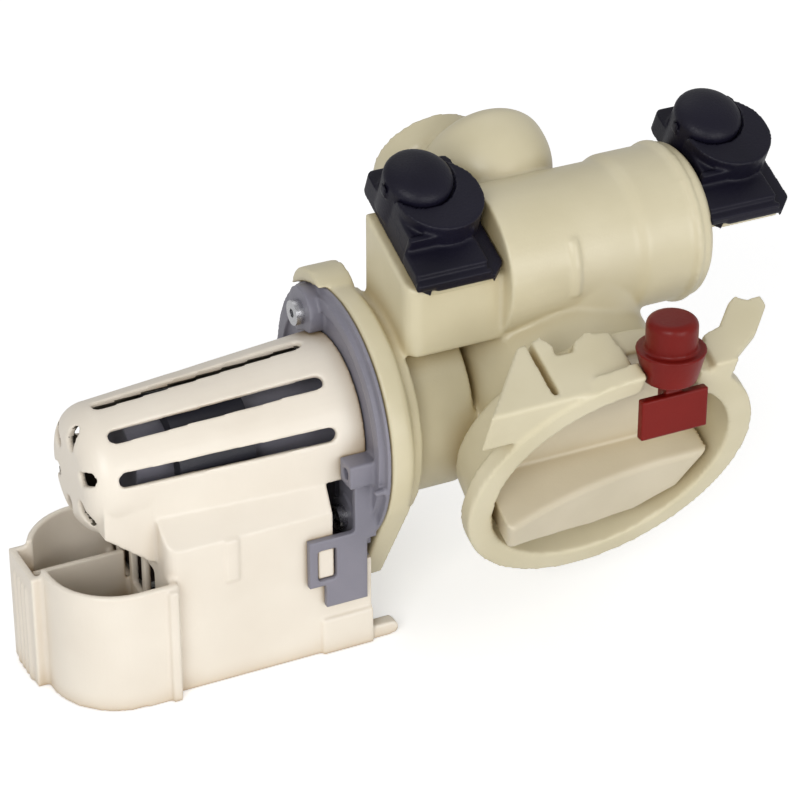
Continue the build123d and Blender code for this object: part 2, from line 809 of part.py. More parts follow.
# Gasket between flange and pump body
gasket_plane = shaft.offset(flange_thickness)
with BuildPart() as flange_gasket:
    with BuildSketch(gasket_plane):
        Circle(gasket_inner_radius + gasket_width)
        Circle(gasket_inner_radius, mode=Mode.SUBTRACT)
    extrude(amount=gasket_thickness)
flange_gasket.part.label = "flange_gasket"
export_step(flange_gasket.part, "parts/flange_gasket.step")

# Places on the pump body that other pieces use
body_face = flange_thickness + seat_gap
body_lip = flange_lip + seat_gap
lug_planes = []
for reach in (lug_reach, lug_reach + lug_pitch):
    lug_origin = (flange_x + reach, -lug_forward, axis_height + lug_rise)
    lug_planes.append(Plane(origin=lug_origin, x_dir=(1, 0, 0), z_dir=(0, -sin(tilt), cos(tilt))))
barrel_plane = Plane(
    origin=(flange_x + barrel_start, -barrel_forward, axis_height + barrel_rise),
    x_dir=(0, 1, 0),
    z_dir=(1, 0, 0),
)
barrel_side = Plane(origin=barrel_plane.origin, x_dir=(1, 0, 0), z_dir=(0, -1, 0))
inlet_plane = Plane(
    origin=(flange_x + inlet_reach, inlet_behind, axis_height + inlet_rise),
    x_dir=(-1, 0, 0),
    z_dir=-trap.z_dir,
)
outlet_plane = Plane(
    origin=(flange_x + outlet_place, 0, axis_height - outlet_drop),
    x_dir=(-1, 0, 0),
    z_dir=(0, 1, 0),
)
riser_foot = axis_height - trap_drop + (trap_forward - riser_forward) * sin(tilt) / cos(tilt)
riser_place = (flange_x + riser_reach, -riser_forward)
riser_height = axis_height + barrel_rise - riser_foot
lock_origin = trap.from_local_coords((lock_reach, lock_rise, -lock_setback))
lock_plane = Plane(origin=lock_origin, x_dir=(1, 0, 0), z_dir=(0, 0, 1))
lock_seat_width = 2 * (lock_collar_radius + seat_gap) - lock_collar_taper
lock_seat_low = lock_rise - (lock_collar_radius - lock_collar_taper) * sin(tilt) - 2 * seat_gap

# Pump body, one hollow moulding
with BuildPart() as pump_body:
    # Mating flange with its rounded edge, the lug of the top screw and the lower gusset
    with BuildSketch(shaft.offset(body_lip)):
        Circle(flange_radius)
    extrude(amount=body_flange_thickness)
    fillet(pump_body.edges().group_by(Axis.X)[-1], radius=body_flange_round)
    with BuildSketch(shaft.offset(body_lip)):
        with Locations(ear_places[0]):
            Circle(top_lug_radius)
    extrude(amount=body_flange_thickness)
    with BuildSketch(shaft.offset(-top_lug_front)):
        with Locations(ear_places[0]):
            Circle(top_lug_radius)
        Circle(flange_radius + seat_gap, mode=Mode.SUBTRACT)
    extrude(amount=top_lug_front + body_lip + seat_gap)
    with BuildSketch(shaft.offset(body_lip)):
        with BuildLine():
            Polyline(*gusset_outline, close=True)
        make_face()
    extrude(amount=body_flange_thickness)
    # Collar and volute
    for radius, stop in (
        (collar_radius, body_lip + body_flange_thickness + collar_length),
        (volute_radius, volute_end),
    ):
        with BuildSketch(shaft.offset(body_face)):
            Circle(radius)
        extrude(amount=stop - body_face)
    # Strainer room with its rim
    with BuildSketch(trap_side):
        with BuildLine():
            Polyline(
                (0, 0),
                (rim_radius, 0),
                (rim_radius, -rim_length),
                (mouth_radius + rim_wall, -rim_length),
                (mouth_radius + body_wall, -mouth_depth),
                (room_radius, -mouth_depth - skirt_length),
                (room_radius, -room_depth),
                (0, -room_depth),
                close=True,
            )
        make_face()
    revolve(axis=trap_line)
    # Hooked bracket left of the lock, with a groove, and finger right of it
    with BuildSketch(bracket_plane):
        with BuildLine():
            Polyline(*hook_outline, close=True)
        make_face()
    extrude(amount=-bracket_block_drop)
    with BuildSketch(bracket_plane):
        with Locations((hook_groove[0], hook_groove[2] / 2 + bracket_thickness)):
            Rectangle(hook_groove[1], hook_groove[2])
    extrude(amount=-hook_groove[3], mode=Mode.SUBTRACT)
    with BuildSketch(bracket_plane):
        with BuildLine():
            Polyline(*finger_outline, close=True)
        make_face()
    extrude(amount=-bracket_thickness)
    with BuildSketch(bracket_plane):
        with Locations((finger_root[0], seat_gap)):
            Rectangle(finger_root[1], finger_root[2], align=(Align.MIN, Align.MIN))
    extrude(amount=-bracket_block_drop)
    # Riser and barrel above the strainer room
    with BuildSketch(Plane.XY.offset(riser_foot)):
        with Locations(riser_place):
            Circle(riser_radius)
    extrude(amount=riser_height)
    with BuildSketch(barrel_side):
        with BuildLine():
            Polyline(
                (0, 0),
                (0, barrel_thin_radius),
                (barrel_step_place - barrel_start, barrel_thin_radius),
                (barrel_step_place + barrel_step_length - barrel_start, barrel_radius),
                (barrel_end - barrel_edge - barrel_start, barrel_radius),
                (barrel_end - barrel_start, barrel_radius - barrel_edge),
                (barrel_end - barrel_start, 0),
                close=True,
            )
        make_face()
    revolve(axis=Axis(barrel_side.origin, (1, 0, 0)))
    # Dome and spigot of the inlet
    inlet_dome(0, Mode.ADD)
    for radius, length in ((inlet_neck_radius, inlet_length), (inlet_radius, inlet_grip_length)):
        with BuildSketch(inlet_plane):
            Circle(radius)
        extrude(amount=-length)
    # Spigot of the outlet
    for radius, reach in ((outlet_root_radius, outlet_root_reach), (outlet_radius, outlet_reach)):
        with BuildSketch(outlet_plane):
            Circle(radius)
        extrude(amount=reach)
    # Pillars and lugs for the rubber feet
    left_start = lug_reach - left_pillar_reach
    for lug_plane, pillar_start, pillar_stop, half, pillar_low in (
        (lug_planes[0], left_start, barrel_start + body_wall, pillar_half, volute_radius - body_wall),
        (lug_planes[1], barrel_end - body_wall, lug_reach + lug_pitch, right_pillar_half, right_pillar_low),
    ):
        with BuildSketch(lug_plane):
            Rectangle(lug_width, lug_length)
        extrude(amount=-lug_thickness)
        with BuildSketch(Plane.YZ.offset(flange_x + pillar_start)):
            with BuildLine():
                front = -lug_forward - half
                back = -lug_forward + half
                top = axis_height + lug_rise - lug_thickness
                slope = sin(tilt) / cos(tilt)
                Polyline(
                    (front, axis_height + pillar_low),
                    (back, axis_height + pillar_low),
                    (back, top + half * slope),
                    (front, top - half * slope),
                    close=True,
                )
            make_face()
        extrude(amount=pillar_stop - pillar_start)
    pillar_x = flange_x + left_start
    pillar_edges = pump_body.edges().filter_by(Axis.Z)
    pillar_edges = pillar_edges.filter_by_position(Axis.X, pillar_x - seat_gap, pillar_x + seat_gap)
    fillet(pillar_edges.sort_by(Axis.Y)[0], radius=pillar_round)
    for lug_plane in lug_planes:
        with BuildSketch(lug_plane):
            with Locations((0, stem_back)):
                Circle(stem_radius)
        extrude(amount=stem_height)
    # Rib on the front of the barrel and ring near its end
    with BuildSketch(barrel_plane.offset(front_rib_share * (barrel_end - barrel_start))):
        Circle(barrel_thin_radius + front_rib_height)
        with Locations((-barrel_thin_radius, front_rib_rise_share * barrel_thin_radius)):
            Rectangle(
                barrel_thin_radius, front_rib_span_share * barrel_thin_radius, mode=Mode.INTERSECT
            )
    extrude(amount=front_rib_width)
    with BuildSketch(barrel_plane.offset(end_ring_share * (barrel_end - barrel_start))):
        Circle(barrel_radius + end_ring_height)
    extrude(amount=end_ring_width)
    # Hollows of the volute, strainer room, riser, barrel, inlet and outlet
    with BuildSketch(shaft.offset(body_lip - cut_overrun)):
        Circle(flange_plug_radius + bed_gap)
    extrude(amount=body_face - body_lip + cut_overrun, mode=Mode.SUBTRACT)
    with BuildSketch(shaft.offset(body_face - cut_overrun)):
        Circle(volute_room_radius)
    extrude(amount=volute_end - body_wall - body_face + cut_overrun, mode=Mode.SUBTRACT)
    with BuildSketch(shaft.offset(volute_end - body_wall - cut_overrun)):
        Circle(eye_radius)
    extrude(amount=eye_reach, mode=Mode.SUBTRACT)
    with BuildSketch(trap_side):
        with BuildLine():
            Polyline(
                (0, cut_overrun),
                (mouth_radius, cut_overrun),
                (mouth_radius, -mouth_depth),
                (room_radius - body_wall, -mouth_depth - skirt_length),
                (room_radius - body_wall, body_wall - room_depth),
                (0, body_wall - room_depth),
                close=True,
            )
        make_face()
    revolve(axis=trap_line, mode=Mode.SUBTRACT)
    with BuildSketch(Plane.XY.offset(riser_foot)):
        with Locations(riser_place):
            Circle(riser_radius - body_wall)
    extrude(amount=riser_height, mode=Mode.SUBTRACT)
    with BuildSketch(barrel_plane.offset(body_wall)):
        Circle(barrel_thin_radius - body_wall)
    extrude(amount=barrel_end - barrel_start - 2 * body_wall, mode=Mode.SUBTRACT)
    inlet_dome(body_wall, Mode.SUBTRACT)
    with BuildSketch(inlet_plane.offset(cut_overrun)):
        Circle(inlet_neck_radius - body_wall)
    extrude(amount=body_wall - inlet_length - cut_overrun, mode=Mode.SUBTRACT)
    with BuildSketch(outlet_plane):
        Circle(outlet_radius - body_wall)
    extrude(amount=outlet_reach + cut_overrun, mode=Mode.SUBTRACT)
    # Groove for the gasket and holes for the screws
    with BuildSketch(shaft.offset(body_face - cut_overrun)):
        Circle(gasket_inner_radius + gasket_width + bed_gap)
    extrude(amount=gasket_thickness - seat_gap + bed_gap + cut_overrun, mode=Mode.SUBTRACT)
    with BuildSketch(shaft.offset(body_face - cut_overrun)):
        with Locations(ear_places):
            Circle(screw_radius + bed_gap)
    extrude(amount=screw_length - ear_thickness - body_face + seat_gap + cut_overrun, mode=Mode.SUBTRACT)
    # Seat and notch for the lock of the cap
    with BuildSketch(trap.offset(cut_overrun)):
        with Locations((lock_reach, lock_seat_low)):
            Rectangle(lock_seat_width, rim_radius, align=(Align.CENTER, Align.MIN))
    lock_seat_depth = lock_setback + lock_collar_radius + 2 * seat_gap
    extrude(amount=-cut_overrun - lock_seat_depth, mode=Mode.SUBTRACT)
    with BuildSketch(trap.offset(cut_overrun)):
        with Locations((lock_reach, mouth_radius - 2 * lock_neck_depth)):
            Rectangle(lock_neck_width + 2 * seat_gap, rim_radius, align=(Align.CENTER, Align.MIN))
    extrude(amount=-lock_setback - lock_neck_width - cut_overrun, mode=Mode.SUBTRACT)
pump_body.part.label = "pump_body"
export_step(pump_body.part, "parts/pump_body.step")

# Rubber feet on the lugs
for foot_name, lug_plane in (("rubber_foot_left", lug_planes[0]), ("rubber_foot_right", lug_planes[1])):
    with BuildPart() as rubber_foot:
        with BuildSketch(lug_plane.offset(-pad_lip)):
            with Locations((0, pad_back)):
                RectangleRounded(pad_width, pad_length, pad_corner)
            with Locations([(x, pad_back - pad_length / 2) for x in (-pad_width / 2, pad_width / 2)]):
                Rectangle(flap_notch, flap_notch, rotation=45, mode=Mode.SUBTRACT)
        extrude(amount=pad_lip + pad_thickness)
        with BuildSketch(lug_plane.offset(pad_thickness - flap_step)):
            with Locations((0, pad_back - pad_length / 2)):
                Rectangle(pad_width + cut_overrun, 2 * flap_length)
            with Locations((0, stem_back)):
                Circle(ring_radius, mode=Mode.SUBTRACT)
        extrude(amount=flap_step + cut_overrun, mode=Mode.SUBTRACT)
        with BuildSketch(lug_plane):
            with Locations((0, stem_back)):
                Circle(ring_radius)
        extrude(amount=pad_thickness + ring_height)
        with BuildSketch(lug_plane):
            with Locations((-crown_left, stem_back + crown_shift)):
                Circle(crown_radius)
        extrude(amount=pad_thickness + crown_height)
        with BuildSketch(lug_plane.offset(bed_gap)):
            Rectangle(lug_width + 2 * bed_gap, pad_length + 2 * (pad_back + cut_overrun))
        extrude(amount=-pad_lip - cut_overrun, mode=Mode.SUBTRACT)
        with BuildSketch(lug_plane):
            with Locations((0, stem_back)):
                Circle(stem_radius + bed_gap)
        extrude(amount=stem_height + bed_gap, mode=Mode.SUBTRACT)
    rubber_foot.part.label = foot_name
    export_step(rubber_foot.part, "parts/" + foot_name + ".step")

# Cap with its grip, a broad ridge that stands highest at its left end
cap_face = -cap_depth
skirt_start = cap_face - cap_plate
grip_side = Plane(origin=trap_centre, x_dir=(1, 0, 0), z_dir=-trap.y_dir)
with BuildPart() as filter_cap:
    with BuildSketch(trap.offset(skirt_start)):
        with BuildLine():
            Polyline(*grip_outline, close=True)
        make_face()
    extrude(amount=cap_plate + grip_heights[0] + cut_overrun)
    with BuildSketch(grip_side):
        with BuildLine():
            left = (-grip_half_length, cap_face + grip_heights[0])
            right = (grip_half_length, cap_face + grip_heights[2])
            ThreePointArc(left, (0, cap_face + grip_heights[1]), right)
            Polyline(right, (grip_half_length, mouth_radius), (-grip_half_length, mouth_radius), left)
        make_face()
    extrude(amount=rim_radius, mode=Mode.SUBTRACT)
    top_level = cap_face + grip_heights[2] - 2 * grip_edge_round
    top_edges = filter_cap.edges().filter_by(lambda edge: trap.to_local_coords(edge.center()).Z > top_level)
    top_edges = top_edges.filter_by(lambda edge: abs(edge.tangent_at(0.5).dot(trap.z_dir)) < 0.5)
    fillet(top_edges, radius=grip_edge_round)
    with BuildSketch(trap.offset(cap_face)):
        Circle(mouth_radius - slip_gap)
    extrude(amount=-cap_plate)
    with BuildSketch(trap.offset(skirt_start)):
        Circle(cap_skirt_radius)
        Circle(cap_skirt_radius - cap_skirt_wall, mode=Mode.SUBTRACT)
    extrude(amount=-cap_skirt_length)
filter_cap.part.label = "filter_cap"
export_step(filter_cap.part, "parts/filter_cap.step")

# Gasket round the cap's skirt
with BuildPart() as cap_gasket:
    with BuildSketch(trap.offset(skirt_start - bed_gap - slip_gap)):
        Circle(mouth_radius - slip_gap)
        Circle(cap_skirt_radius + bed_gap / 2, mode=Mode.SUBTRACT)
    extrude(amount=-cap_gasket_length)
cap_gasket.part.label = "cap_gasket"
export_step(cap_gasket.part, "parts/cap_gasket.step")

# Strainer basket behind the cap
basket_start = skirt_start - slip_gap
with BuildPart() as filter_basket:
    with BuildSketch(trap.offset(basket_start)):
        Circle(cap_skirt_radius - cap_skirt_wall - slip_gap)
        Circle(basket_radius - basket_bar, mode=Mode.SUBTRACT)
    extrude(amount=-basket_ring)
    with BuildSketch(trap.offset(basket_start - basket_length)):
        Circle(basket_radius)
    extrude(amount=-basket_floor)
    for share in basket_ring_shares:
        with BuildSketch(trap.offset(basket_start - share * basket_length)):
            Circle(basket_radius)
            Circle(basket_radius - basket_bar, mode=Mode.SUBTRACT)
        extrude(amount=-basket_bar)
    with BuildSketch(trap.offset(basket_start - basket_ring / 2)):
        with PolarLocations(basket_radius - basket_bar / 2, basket_bar_count):
            Rectangle(basket_bar, basket_bar)
    extrude(amount=-basket_length)
filter_basket.part.label = "filter_basket"
export_step(filter_basket.part, "parts/filter_basket.step")

# Lock that hangs over the rim in front of the cap
with BuildPart() as cap_lock:
    with BuildSketch(lock_plane) as collar_low:
        Circle(lock_collar_radius - lock_collar_taper)
    with BuildSketch(lock_plane.offset(lock_collar_height)) as collar_high:
        Circle(lock_collar_radius)
    loft()
    with BuildSketch(lock_plane.offset(lock_collar_height)):
        Circle(lock_knob_radius)
    extrude(amount=lock_knob_height)
    fillet(cap_lock.edges().group_by(Axis.Z)[-1], radius=lock_knob_round)
    with BuildSketch(lock_plane):
        Rectangle(lock_neck_width, lock_neck_width)
    extrude(amount=-lock_neck_length - cut_overrun)
    with BuildSketch(lock_plane.offset(-lock_neck_length)):
        with Locations((0, -lock_plate_forward)):
            Rectangle(lock_plate_width, lock_plate_thickness)
    extrude(amount=-lock_plate_height)
    with BuildSketch(lock_plane.offset(-lock_neck_length)):
        with Locations((0, lock_neck_width / 2)):
            Rectangle(
                lock_neck_width,
                lock_neck_width / 2 + lock_plate_forward + lock_plate_thickness / 2,
                align=(Align.CENTER, Align.MAX),
            )
    extrude(amount=-lock_neck_width)
cap_lock.part.label = "cap_lock"
export_step(cap_lock.part, "parts/cap_lock.step")
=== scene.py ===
import json
from math import cos, radians, sin

import bmesh
import bpy
from mathutils import Matrix, Vector


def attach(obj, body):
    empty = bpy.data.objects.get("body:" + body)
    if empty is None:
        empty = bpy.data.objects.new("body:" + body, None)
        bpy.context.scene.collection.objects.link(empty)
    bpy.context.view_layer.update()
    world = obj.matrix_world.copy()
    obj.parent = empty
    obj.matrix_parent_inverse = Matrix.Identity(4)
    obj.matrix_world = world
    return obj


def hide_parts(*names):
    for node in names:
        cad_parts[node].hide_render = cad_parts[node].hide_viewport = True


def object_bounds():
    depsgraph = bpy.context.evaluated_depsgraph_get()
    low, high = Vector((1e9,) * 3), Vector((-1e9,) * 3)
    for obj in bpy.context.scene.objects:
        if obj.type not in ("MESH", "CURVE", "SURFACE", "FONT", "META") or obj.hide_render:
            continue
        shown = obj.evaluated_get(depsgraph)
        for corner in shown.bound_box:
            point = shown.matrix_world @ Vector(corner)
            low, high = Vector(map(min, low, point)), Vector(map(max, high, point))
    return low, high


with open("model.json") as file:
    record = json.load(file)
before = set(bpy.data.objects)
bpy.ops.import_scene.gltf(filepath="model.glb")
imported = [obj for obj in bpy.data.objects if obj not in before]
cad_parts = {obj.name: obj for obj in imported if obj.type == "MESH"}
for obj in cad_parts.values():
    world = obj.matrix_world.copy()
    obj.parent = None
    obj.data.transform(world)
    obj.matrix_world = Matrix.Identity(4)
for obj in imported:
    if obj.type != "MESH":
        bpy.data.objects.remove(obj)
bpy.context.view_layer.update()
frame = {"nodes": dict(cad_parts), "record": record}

NODES = frame["nodes"]
ROWS = {row["node"]: row for row in frame["record"]["subparts"]}
BODIES = frame["record"]["behaviour"]["bodies"]
BODY_OF = {node: body for body, nodes in BODIES.items() for node in nodes}
MM = 0.001

# Height of the motor's axis in millimetres, and the directions of the tilted feet
AXIS_HEIGHT = 66.0
FOOT_TILT = radians(24)
FOOT_UP = Vector((0, -sin(FOOT_TILT), cos(FOOT_TILT)))
FOOT_AHEAD = Vector((0, -cos(FOOT_TILT), -sin(FOOT_TILT)))
FOOT_RIGHT = Vector((1, 0, 0))


# Materials
WHITE = (1, 1, 1)
NOISE_DETAIL = 3.0
CLOUD_SCALE = 32.0
CLOUD_STOPS = (0.3, 0.7)
ROUGH_SPREAD = 0.06
GRAIN_DEPTH = 0.3 * MM
# Painted shade in creases: how far the occlusion looks, its samples and its ramp stops
PAINTED_SHADE_REACH = 9 * MM
PAINTED_SHADE_SAMPLES = 6
PAINTED_SHADE_STOPS = (0.1, 0.8)


def new_material(name):
    """A material with an empty node tree, its shader and its object coordinates."""
    mat = bpy.data.materials.new(name)
    mat.use_nodes = True
    tree = mat.node_tree
    shader = tree.nodes["Principled BSDF"]
    coords = tree.nodes.new("ShaderNodeTexCoord")
    return mat, tree, shader, coords


def noise(tree, coords, scale):
    """A noise texture that follows the piece."""
    node = tree.nodes.new("ShaderNodeTexNoise")
    node.inputs["Scale"].default_value = scale
    node.inputs["Detail"].default_value = NOISE_DETAIL
    tree.links.new(coords.outputs["Object"], node.inputs["Vector"])
    return node.outputs["Fac"]


def ramp(tree, source, stops, colours):
    """A colour ramp over the source, with two stops and their colours."""
    node = tree.nodes.new("ShaderNodeValToRGB")
    for element, stop, colour in zip(node.color_ramp.elements, stops, colours):
        element.position = stop
        element.color = (*colour, 1)
    tree.links.new(source, node.inputs["Fac"])
    return node.outputs["Color"]


def paint_crease_shade(tree, colour, depth):
    """The colour, multiplied by depth where the surface folds in: painted shade in the creases, found
    by ambient occlusion.
    """
    shade = tree.nodes.new("ShaderNodeAmbientOcclusion")
    shade.samples = PAINTED_SHADE_SAMPLES
    shade.inputs["Distance"].default_value = PAINTED_SHADE_REACH
    painted_shade = ramp(tree, shade.outputs["AO"], PAINTED_SHADE_STOPS, (depth, WHITE))
    mix = tree.nodes.new("ShaderNodeMix")
    mix.data_type = "RGBA"
    mix.blend_type = "MULTIPLY"
    mix.inputs["Factor"].default_value = 1.0
    tree.links.new(colour, mix.inputs["A"])
    tree.links.new(painted_shade, mix.inputs["B"])
    return mix.outputs["Result"]


def moulded(name, dark, pale, rough, grain, bump, gloss=0.5, metal=0.0, depth=None):
    """Moulded plastic, rubber or metal: cloudy colour, painted shade in the folds, fine grain and soft
    bump.
    """
    mat, tree, shader, coords = new_material(name)
    colour = ramp(tree, noise(tree, coords, CLOUD_SCALE), CLOUD_STOPS, (dark, pale))
    # Painted shade: where depth is given, the colour darkens towards it in creases
    if depth:
        colour = paint_crease_shade(tree, colour, depth)
    tree.links.new(colour, shader.inputs["Base Color"])
    shader.inputs["Specular IOR Level"].default_value = gloss
    shader.inputs["Metallic"].default_value = metal
    fine = noise(tree, coords, grain)
    spread = tree.nodes.new("ShaderNodeMapRange")
    spread.inputs["To Min"].default_value = rough - ROUGH_SPREAD
    spread.inputs["To Max"].default_value = rough + ROUGH_SPREAD
    tree.links.new(fine, spread.inputs["Value"])
    tree.links.new(spread.outputs["Result"], shader.inputs["Roughness"])
    height = tree.nodes.new("ShaderNodeBump")
    height.inputs["Strength"].default_value = bump
    height.inputs["Distance"].default_value = GRAIN_DEPTH
    tree.links.new(fine, height.inputs["Height"])
    tree.links.new(height.outputs["Normal"], shader.inputs["Normal"])
    return mat


# Each finish: darker and paler colour, roughness, grain scale, bump, and what else it sets
# Colours of the painted shade in the creases of each plastic
IVORY_PAINTED_SHADE = (0.60, 0.46, 0.28)
CREAM_PAINTED_SHADE = (0.74, 0.64, 0.46)
GREY_PAINTED_SHADE = (0.75, 0.75, 0.77)
RED_PAINTED_SHADE = (0.5, 0.4, 0.4)
SMOOTH, FINE, POLISHED = 900.0, 1400.0, 2000.0
FINISHES = {
    "ivory_plastic": (
        (0.745, 0.675, 0.575), (0.80, 0.735, 0.635), 0.36, SMOOTH, 0.10,
        {"depth": IVORY_PAINTED_SHADE},
    ),
    # Painted shade: a dark finish for the inner wall of the vented cone, whose plastic is the ivory
    "cover_inside_shade": ((0.10, 0.085, 0.06), (0.14, 0.12, 0.09), 0.6, SMOOTH, 0.10, {"gloss": 0.2}),
    "cream_plastic": (
        (0.575, 0.515, 0.345), (0.65, 0.59, 0.42), 0.34, SMOOTH, 0.12,
        {"depth": CREAM_PAINTED_SHADE},
    ),
    "cap_plastic": (
        (0.56, 0.495, 0.36), (0.63, 0.56, 0.42), 0.38, SMOOTH, 0.12,
        {"depth": CREAM_PAINTED_SHADE},
    ),
    "grey_plastic": (
        (0.185, 0.18, 0.215), (0.235, 0.225, 0.265), 0.40, FINE, 0.2,
        {"gloss": 0.4, "depth": GREY_PAINTED_SHADE},
    ),
    "black_rubber": ((0.004, 0.0035, 0.010), (0.009, 0.008, 0.018), 0.42, FINE, 0.3, {"gloss": 0.22}),
    "seal_rubber": ((0.012, 0.012, 0.014), (0.02, 0.02, 0.022), 0.55, FINE, 0.2, {"gloss": 0.3}),
    "red_plastic": (
        (0.125, 0.005, 0.003), (0.175, 0.008, 0.005), 0.34, SMOOTH, 0.12,
        {"gloss": 0.22, "depth": RED_PAINTED_SHADE},
    ),
    "bright_steel": ((0.55, 0.55, 0.57), (0.66, 0.66, 0.67), 0.28, POLISHED, 0.1, {"metal": 1.0}),
    "core_steel": ((0.018, 0.018, 0.025), (0.035, 0.035, 0.045), 0.45, POLISHED, 0.2, {"gloss": 0.3}),
    "coil_wire": ((0.03, 0.018, 0.014), (0.06, 0.035, 0.025), 0.5, POLISHED, 0.3, {}),
    "white_plastic": ((0.62, 0.61, 0.57), (0.70, 0.69, 0.65), 0.4, SMOOTH, 0.12, {}),
    "magnet": ((0.05, 0.05, 0.055), (0.08, 0.08, 0.085), 0.5, FINE, 0.2, {}),
    "tin_brass": ((0.30, 0.26, 0.17), (0.38, 0.33, 0.22), 0.35, POLISHED, 0.1, {"metal": 1.0}),
}
MATERIALS = {
    name: moulded(name, dark, pale, rough, grain, bump, **more)
    for name, (dark, pale, rough, grain, bump, more) in FINISHES.items()
}

for row in ROWS.values():
    node = NODES[row["node"]]
    node.data.materials.clear()
    node.data.materials.append(MATERIALS[row["material_slot"]])


# Extra shapes, drawn in millimetres
def prism(bm, outline, origin, x_dir, y_dir, depth):
    """A prism over an outline in the plane of x_dir and y_dir, raised by depth along their normal."""
    x_axis = Vector(x_dir).normalized()
    y_axis = Vector(y_dir).normalized()
    rise = x_axis.cross(y_axis) * depth
    base = [Vector(origin) + x_axis * u + y_axis * v for u, v in outline]
    low = [bm.verts.new(p * MM) for p in base]
    high = [bm.verts.new((p + rise) * MM) for p in base]
    count = len(base)
    faces = [bm.faces.new(low[::-1]), bm.faces.new(high)]
    for i in range(count):
        j = (i + 1) % count
        faces.append(bm.faces.new((low[i], low[j], high[j], high[i])))
    bmesh.ops.recalc_face_normals(bm, faces=faces)


def box_between(bm, low, high):
    """An upright box between two corners."""
    outline = [(low[0], low[1]), (high[0], low[1]), (high[0], high[1]), (low[0], high[1])]
    prism(bm, outline, (0, 0, low[2]), (1, 0, 0), (0, 1, 0), high[2] - low[2])


def rod(bm, start, end, start_radius, end_radius, sides):
    """A round rod or cone between two points."""
    way = end - start
    turn = way.to_track_quat("Z", "Y").to_matrix().to_4x4()
    bmesh.ops.create_cone(
        bm,
        cap_ends=True,
        segments=sides,
        radius1=start_radius * MM,
        radius2=end_radius * MM,
        depth=way.length * MM,
        matrix=Matrix.Translation((start + end) / 2 * MM) @ turn,
    )


MERGE_REACH = 0.001 * MM
SMOOTH_FACTOR = 0.5


def soften(name, voxel, rounds, add=None, keep=0.4):
    """Stands for a CAD node: its shape with the extra shapes, and with a moulding's small rounding."""
    bm = bmesh.new()
    bm.from_mesh(NODES[name].data)
    bmesh.ops.remove_doubles(bm, verts=bm.verts, dist=MERGE_REACH)
    if add:
        add(bm)
    mesh = bpy.data.meshes.new(name + "_moulded")
    bm.to_mesh(mesh)
    bm.free()
    piece = bpy.data.objects.new(name + "_moulded", mesh)
    bpy.context.collection.objects.link(piece)
    grid = piece.modifiers.new("grid", "REMESH")
    grid.mode = "VOXEL"
    grid.voxel_size = voxel * MM
    round_off = piece.modifiers.new("round_off", "SMOOTH")
    round_off.factor = SMOOTH_FACTOR
    round_off.iterations = rounds
    thin = piece.modifiers.new("thin", "DECIMATE")
    thin.ratio = keep
    bpy.context.view_layer.update()
    shown = piece.evaluated_get(bpy.context.evaluated_depsgraph_get())
    final = bpy.data.meshes.new_from_object(shown)
    piece.modifiers.clear()
    piece.data = final
    final.polygons.foreach_set("use_smooth", [True] * len(final.polygons))
    final.materials.clear()
    final.materials.append(MATERIALS[ROWS[name]["material_slot"]])
    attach(piece, BODY_OF[name])
    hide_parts(name)
    return piece


# Rubber feet, each tilted with its lug
CROWN_DEPTH = 9 * MM
CROWN_FALL = 0.5
CROWN_MARGIN = 1.06
RIM_BAND = 0.05 * MM


def crown(node):
    """The middle and the radius of a foot's flat crown."""
    top = max(v.co.dot(FOOT_UP) for v in node.data.vertices)
    rim = [v.co for v in node.data.vertices if v.co.dot(FOOT_UP) > top - RIM_BAND]
    centre = sum(rim, Vector()) / len(rim)
    return centre, max((v - centre).length for v in rim)


def dome_over(foot, node):
    """Rounds the crown of a rubber foot, which the solid has flat."""
    centre, radius = crown(node)
    for vertex in foot.data.vertices:
        away = vertex.co - centre
        height = away.dot(FOOT_UP)
        out = (away - FOOT_UP * height).length / radius
        lift = (height + CROWN_DEPTH) / CROWN_DEPTH
        if out < CROWN_MARGIN and lift > 0:
            fall = CROWN_FALL * (1 - (1 - min(out, 1.0) ** 2) ** 0.5)
            vertex.co -= FOOT_UP * lift * CROWN_DEPTH * fall


def foot_pads(name):
    """Draws the raised pads and the lip on a foot's flap, and the band beside its crown."""
    def add(bm):
        centre, radius = crown(NODES[name])
        reach = max((v.co - centre).dot(FOOT_AHEAD) for v in NODES[name].data.vertices) / MM
        # half width, then from and to along the flap, then from and to in height below the crown
        bars = (
            (9.5, -reach + 13, -8, -17, -9.0),
            (10.5, -reach + 12.4, -reach + 14.4, -17, -8.2),
            (11.5, -reach + 3, -reach + 13, -17, -12.6),
            (12, -reach + 0.3, -reach + 2.2, -17, -14.2),
            (radius / MM + 0.8, -1.6, 1.6, -8, -4.2),
        )
        for half, near, far, low, high in bars:
            outline = [(-half, near), (half, near), (half, far), (-half, far)]
            base = centre / MM + FOOT_UP * low
            prism(bm, outline, base, FOOT_RIGHT, -FOOT_AHEAD, high - low)
    return add


# Painted shade on the inner wall of the vented cone
CONE_END = 30.0
CONE_REACH = 26.0
INWARD_SHARE = 0.3


def paint_inside_shade(cover):
    """Paints shade on the inner wall of the vented cone with a dark finish, since little light reaches
    it.
    """
    cover.data.materials.append(MATERIALS["cover_inside_shade"])
    for face in cover.data.polygons:
        out = Vector((0, face.center.y, face.center.z - AXIS_HEIGHT * MM))
        within = face.center.x < CONE_END * MM and out.length < CONE_REACH * MM
        if within and face.normal.dot(out) < -INWARD_SHARE * out.length:
            face.material_index = 1


# Web of the flange, and its studs
WEB_LEFT, WEB_RIGHT = 28.4, 33.5
WEB_LOW, WEB_HIGH = 33.5, 54
WEB_BACK, WEB_FACE, WEB_FRONT = -15, -21, -26.5
WEB_RIB = 1.4
WEB_SHELF = 1.7
WEB_BRACE = ((29, 52), (WEB_RIGHT, 40), (WEB_RIGHT, 42.6), (30.4, 52))
BRACE_WIDTH = 5.2
STUD_ANGLES = (12, 40)
STUD_RING = 38.5
STUD_START, STUD_END = 29.5, 32.5
STUD_RADII = (0.9, 1.1)
STUD_SIDES = 12


